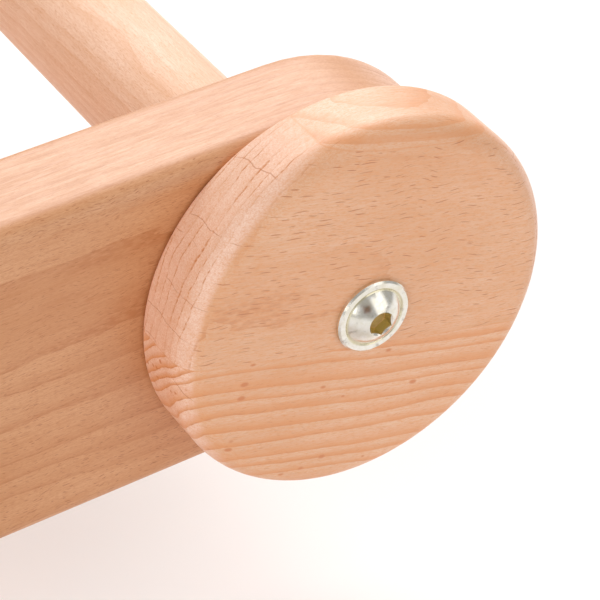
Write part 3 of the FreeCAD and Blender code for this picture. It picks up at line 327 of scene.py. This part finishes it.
    height = s.math("MULTIPLY_ADD", fibre, 0.4, s.math("MULTIPLY", ray, -0.12))
    height = s.math("MULTIPLY_ADD", speckle, s.math("MULTIPLY", end_grain, 0.5), height)
    height = s.math("MULTIPLY_ADD", pores, -0.3, height)
    rough = s.band(fibre, 0.3, 0.7, roughness - 0.05, roughness + 0.06)
    return s.finish(Base_Color=colour, Roughness=rough, Specular_IOR_Level=specular,
                    Normal=s.bump(height, 0.05 * MM, 0.6))


# ---- materials: metal, plastic, rubber ------------------------------------------------------------

def zinc(name):
    """Bright zinc plating: faintly yellow, with a fine uneven gloss."""
    s = Shader(name)
    place = s.vector("SCALE", s.place.outputs["Object"])
    place.node.inputs["Scale"].default_value = 1 / MM
    cloud = s.noise(place, 0.6, 3.0, 0.6)
    fine = s.noise(place, 9.0, 3.0, 0.6)
    colour = s.mix(s.band(cloud, 0.3, 0.7), rgb(226, 222, 208), rgb(236, 233, 226))
    rough = s.band(fine, 0.3, 0.8, 0.16, 0.3)
    return s.finish(Base_Color=colour, Metallic=1.0, Roughness=rough,
                    Normal=s.bump(fine, 0.01 * MM, 0.4))


def beam_bolt_zinc(name, node):
    """The zinc of a beam bolt, with the olive tint of the plating down in the socket, and blotches of
    painted dark reflection.
    """
    s = Shader(name)
    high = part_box(node)[1]
    place = s.vector("SCALE", s.place.outputs["Object"])
    place.node.inputs["Scale"].default_value = 1 / MM
    cloud = s.noise(place, 0.6, 3.0, 0.6)
    fine = s.noise(place, 9.0, 3.0, 0.6)
    parts = s.separate(place)
    depth = s.math("SUBTRACT", high[0] / MM, s.math("ABSOLUTE", parts[0]))
    axis = middle(node) / MM
    radius = s.math("SQRT", s.math("ADD", s.math("POWER", s.math("SUBTRACT", parts[1], axis.y), 2.0),
                                   s.math("POWER", s.math("SUBTRACT", parts[2], axis.z), 2.0)))
    within = s.band(radius, SOCKET_RADIUS - 0.05, SOCKET_RADIUS, 1.0, 0.0)
    inside = s.math("MULTIPLY", s.band(depth, 0.3, 0.7), within)
    inside = s.math("MULTIPLY", inside, s.band(depth, 3.3, 3.4, 1.0, 0.0))
    colour = s.mix(s.band(cloud, 0.3, 0.7), rgb(226, 220, 204), rgb(238, 234, 226))
    from_groove = s.math("ABSOLUTE", s.math("SUBTRACT", radius, GROOVE_RADIUS))
    colour = s.mix(s.band(from_groove, 0.15, 0.5, 0.6, 0.0), colour, rgb(206, 194, 150))
    # painted reflection: darker grey-brown blotches scattered over the zinc stand in for the dark
    # reflection seen on the dome
    painted_dark_reflection = s.noise(place, 0.45, 4.0, 0.7)
    colour = s.mix(s.band(painted_dark_reflection, 0.55, 0.72, 0.0, 0.55), colour, rgb(150, 138, 124))
    floor = s.band(depth, 2.6, 2.75)
    colour = s.mix(inside, colour, s.mix(floor, rgb(198, 182, 112), rgb(244, 214, 168)))
    rough = s.band(fine, 0.3, 0.8, 0.14, 0.28)
    return s.finish(Base_Color=colour, Metallic=s.band(inside, 0.0, 1.0, 1.0, 0.7), Roughness=rough,
                    Normal=s.bump(fine, 0.01 * MM, 0.4))


def plywood(name, outward):
    """Birch plywood: a plain face, and light and dark layers on every edge."""
    s = Shader(name)
    place = s.vector("SCALE", s.place.outputs["Object"])
    place.node.inputs["Scale"].default_value = 1 / MM
    depth = s.vector("DOT_PRODUCT", place, tuple(outward))
    layer = s.math("FRACT", s.math("MULTIPLY", depth, 1 / PLY_LAYERS))
    dark_layer = s.math("MULTIPLY", s.band(layer, 0.44, 0.5), s.band(layer, 0.94, 1.0, 1.0, 0.0))
    facing = s.math("ABSOLUTE", s.vector("DOT_PRODUCT", s.place.outputs["Normal"], tuple(outward)))
    edge = s.band(facing, 0.75, 0.95, 1.0, 0.0)
    figure = s.noise(s.vector("MULTIPLY", place, (0.5, 0.06, 0.9)), 1.0, 4.0, 0.6)
    fibre = s.noise(s.vector("MULTIPLY", place, (3.0, 0.3, 3.0)), 1.0, 3.0, 0.6)
    colour = s.mix(s.band(figure, 0.3, 0.7), rgb(229, 200, 160), rgb(212, 176, 132))
    layers = s.mix(dark_layer, rgb(224, 194, 152), rgb(170, 122, 78))
    colour = s.mix(edge, colour, layers)
    colour = s.mix(s.band(fibre, 0.45, 0.75, 0.0, 0.25), colour, rgb(176, 132, 88))
    return s.finish(Base_Color=colour, Roughness=s.band(fibre, 0.3, 0.7, 0.45, 0.6),
                    Specular_IOR_Level=0.4, Normal=s.bump(fibre, 0.05 * MM, 0.4))


def moulded_plastic(name):
    """Off-white moulded nylon with a faint sheen and a fine grain."""
    s = Shader(name)
    place = s.vector("SCALE", s.place.outputs["Object"])
    place.node.inputs["Scale"].default_value = 1 / MM
    grain = s.noise(place, 3.0, 3.0, 0.6)
    flow = s.noise(s.vector("MULTIPLY", place, (0.05, 0.2, 0.01)), 1.0, 2.0)
    colour = s.mix(s.band(flow, 0.35, 0.65), rgb(238, 234, 222), rgb(228, 222, 206))
    return s.finish(Base_Color=colour, Roughness=s.band(grain, 0.3, 0.7, 0.34, 0.46),
                    Subsurface_Weight=0.15, Subsurface_Scale=0.002,
                    Normal=s.bump(grain, 0.02 * MM, 0.4))


def rubber(name):
    """Black rubber with a dusty, pebbled face."""
    s = Shader(name)
    place = s.vector("SCALE", s.place.outputs["Object"])
    place.node.inputs["Scale"].default_value = 1 / MM
    pebble = s.noise(place, 2.4, 3.0, 0.6)
    dust = s.noise(place, 0.25, 3.0, 0.6)
    colour = s.mix(s.band(dust, 0.4, 0.8), rgb(38, 37, 36), rgb(62, 60, 57))
    return s.finish(Base_Color=colour, Roughness=s.band(pebble, 0.3, 0.7, 0.6, 0.8),
                    Normal=s.bump(pebble, 0.08 * MM, 0.6))


# ---- materials on the loom ------------------------------------------------------------------------

def paint(node, material):
    mesh = NODES[node].data
    mesh.materials.clear()
    mesh.materials.append(material)


def away(node):
    """The direction along X that points out of the loom at this node."""
    return X if middle(node).x > 0 else -X


def paint_rails():
    # the rails get the tan beech, which holds painted shade as well as their own darker tone
    rails = {"left_side_rail": Stave(-66, 20, 3.0, 0.28, 0.7, fleck=0.35, dash=1.0),
             "right_side_rail": Stave(-58, -12, 3.0, 0.28, 0.7, fleck=0.4, dash=1.0)}
    for seed, (name, stave) in enumerate(rails.items(), start=1):
        paint(name, beech(name, middle(name), Y, away(name), [stave], TAN_BEECH, seed=seed))


def paint_handwheels():
    """Each wheel is cut from a glued panel, at an angle of its own to the rail."""
    wheels = {
        "cloth_handwheel_left": (15.5, 1.3), "cloth_handwheel_right": (-34, 2.7),
        "warp_handwheel_left": (52, 4.1), "warp_handwheel_right": (-8, 5.9)}
    staves = [Stave(-62, 62, 2.5, 0.8, 0.5, -0.15, fleck=0.1, dash=0.4, spots=0.9),
              Stave(-150, 14, 2.5, 0.12, 0.6, fleck=1.0, dash=0.45),
              Stave(-20, 110, 2.2, 0.55, 0.35, -0.2, fleck=0.55, dash=0.4)]
    for name, (angle, seed) in wheels.items():
        paint(name, beech(name, middle(name), in_plane(angle), away(name), staves, PINK_BEECH,
                          WHEEL_GLUE_LINES, seed=seed))


def paint_turned_and_boards():
    boards = {
        "cloth_beam": (X, Z, Stave(-40, 6, 2.8, 0.3, 0.15, fleck=0.2, dash=0.4), PALE_BEECH),
        "warp_beam": (X, Z, Stave(-34, -12, 2.8, 0.3, 0.15, fleck=0.2, dash=0.4), PALE_BEECH),
        "front_stretcher": (X, Z, Stave(-55, 8, 2.6), PINK_BEECH),
        "back_stretcher": (X, Z, Stave(-48, -14, 2.6), PINK_BEECH),
        "left_heddle_stand": (Z, X, Stave(-50, 10, 2.8), PINK_BEECH),
        "right_heddle_stand": (Z, -X, Stave(-44, -8, 2.8), PINK_BEECH),
        "cloth_clamp_strip": (X, Z, Stave(-60, 0, 2.4), PALE_BEECH),
        "warp_clamp_strip": (X, Z, Stave(-60, 9, 2.4), PALE_BEECH),
        "heddle_top_bar": (X, Y, Stave(-70, 5, 2.4), PALE_BEECH),
        "heddle_bottom_bar": (X, Y, Stave(-64, -7, 2.4), PALE_BEECH),
        "heddle_end_left": (Z, Y, Stave(-60, 4, 2.4), PALE_BEECH),
        "heddle_end_right": (Z, Y, Stave(-52, -6, 2.4), PALE_BEECH),
        "leg_front_left": (Z, Y, Stave(-30, 8, 2.4), PINK_BEECH),
        "leg_front_right": (Z, Y, Stave(-34, -6, 2.4), PINK_BEECH),
        "leg_back_left": (Z, Y, Stave(-28, 3, 2.4), PINK_BEECH),
        "leg_back_right": (Z, Y, Stave(-36, -4, 2.4), PINK_BEECH)}
    for seed, (name, (grain, outward, stave, palette)) in enumerate(boards.items(), start=7):
        specular = BEAM_GLOSS if name.endswith("_beam") else BOARD_GLOSS
        paint(name, beech(name, middle(name), grain, outward, [stave], palette, seed=seed * 1.13,
                          specular=specular))


def paint_the_rest():
    ply = plywood("birch_plywood", X)
    steel = zinc("zinc_plating")
    nylon = moulded_plastic("reed_nylon")
    pads = rubber("pad_rubber")
    by_slot = {"plywood": ply, "zinc_bolts": steel, "zinc_hardware": steel, "reed_plastic": nylon,
               "rubber_pad": pads}
    for part in frame["record"]["subparts"]:
        if part["material_slot"] in by_slot:
            paint(part["node"], by_slot[part["material_slot"]])
    for name in ("cloth_beam_bolts", "warp_beam_bolts"):
        paint(name, beam_bolt_zinc(name, name))


# ---- studio ---------------------------------------------------------------------------------------

def photographed_corner():
    """The middle of the left hand wheel's axis on the rail's outer face, at the front."""
    rail_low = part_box("left_side_rail")[0]
    wheel = middle("cloth_handwheel_left")
    return Vector((rail_low[0], wheel.y, wheel.z))


def make_floor():
    floor_material = Shader("studio_floor")
    cloud = floor_material.noise(floor_material.place.outputs["Object"], 3.0, 2.0)
    colour = floor_material.mix(cloud, (0.9, 0.9, 0.9, 1), (0.93, 0.93, 0.93, 1))
    mesh = bpy.data.meshes.new("studio_floor")
    reach = 12.0
    mesh.from_pydata([(-reach, -reach, 0), (reach, -reach, 0), (reach, reach, 0), (-reach, reach, 0)],
                     [], [(0, 1, 2, 3)])
    floor = bpy.data.objects.new("studio_floor", mesh)
    mesh.materials.append(floor_material.finish(Base_Color=colour, Roughness=0.9))
    bpy.context.scene.collection.objects.link(floor)


def add_softbox(name, target, direction, distance, width, power):
    """A square area light that faces the target, unseen by the camera."""
    light = bpy.data.lights.new(name, "AREA")
    light.shape = "SQUARE"
    light.size = width
    light.energy = power
    lamp = bpy.data.objects.new(name, light)
    lamp.location = target + direction.normalized() * distance
    lamp.rotation_euler = (-direction).to_track_quat("-Z", "Y").to_euler()
    lamp.visible_camera = False
    bpy.context.scene.collection.objects.link(lamp)


def add_dark_card(corner):
    """A dark card out to the left, unseen by the camera, that shows only as a mirror image."""
    mesh = bpy.data.meshes.new("dark_card")
    half = 0.24                     # half the card's width
    mesh.from_pydata([(0, -half, -half), (0, half, -half), (0, half, half), (0, -half, half)], [],
                     [(0, 1, 2, 3)])
    surface = Shader("dark_card")
    cloud = surface.noise(surface.place.outputs["Object"], 9.0, 3.0)
    mesh.materials.append(surface.finish(Roughness=0.9, Base_Color=surface.mix(
        surface.band(cloud, 0.4, 0.6), rgb(40, 32, 28), rgb(150, 104, 70))))
    card = bpy.data.objects.new("dark_card", mesh)
    card.location = corner + Vector((-1.15, 0.32, 0.5))
    card.visible_camera = card.visible_diffuse = card.visible_shadow = False
    bpy.context.scene.collection.objects.link(card)


def light_studio(corner):
    """A bright softbox behind the loom that the top faces mirror, and weak light from all round."""
    world = bpy.data.worlds.new("studio")
    world.use_nodes = True
    background = world.node_tree.nodes["Background"]
    background.inputs["Color"].default_value = (1.0, 1.0, 1.0, 1)
    background.inputs["Strength"].default_value = WORLD_LIGHT
    bpy.context.scene.world = world
    bpy.context.scene.view_settings.view_transform = "Standard"
    add_softbox("back_softbox", corner, Vector((0.66, -0.40, 0.64)), 1.6, 1.25, 24)
    add_softbox("side_softbox", corner, Vector((-1.0, -0.6, 0.5)), 1.8, 1.4, 6)
    add_softbox("left_softbox", corner, Vector((-0.5, 1.0, 0.6)), 1.8, 1.4, 12)


def add_camera(corner):
    """The camera looks down on the corner from the loom's left, with a long lens."""
    azimuth, elevation, roll = radians(-30.9), radians(39.42), radians(-1.06)
    distance, aside, above, lens = 0.5470, -0.00578, -0.00633, 154.8
    forward = Vector((cos(elevation) * cos(azimuth), cos(elevation) * sin(azimuth), -sin(elevation)))
    level_right = forward.cross(Z).normalized()
    level_up = level_right.cross(forward)
    right = cos(roll) * level_right + sin(roll) * level_up
    upward = cos(roll) * level_up - sin(roll) * level_right
    camera_data = bpy.data.cameras.new("camera")
    camera_data.lens = lens
    camera_data.sensor_width = 36
    camera_data.clip_start = 0.01
    camera = bpy.data.objects.new("camera", camera_data)
    bpy.context.scene.collection.objects.link(camera)
    place = corner - forward * distance + right * aside + upward * above
    turned = Matrix((right, upward, -forward)).transposed()
    camera.matrix_world = Matrix.Translation(place) @ turned.to_4x4()
    bpy.context.scene.camera = camera


paint_rails()
paint_handwheels()
paint_turned_and_boards()
paint_the_rest()
corner = photographed_corner()
make_floor()
add_dark_card(corner)
light_studio(corner)
add_camera(corner)
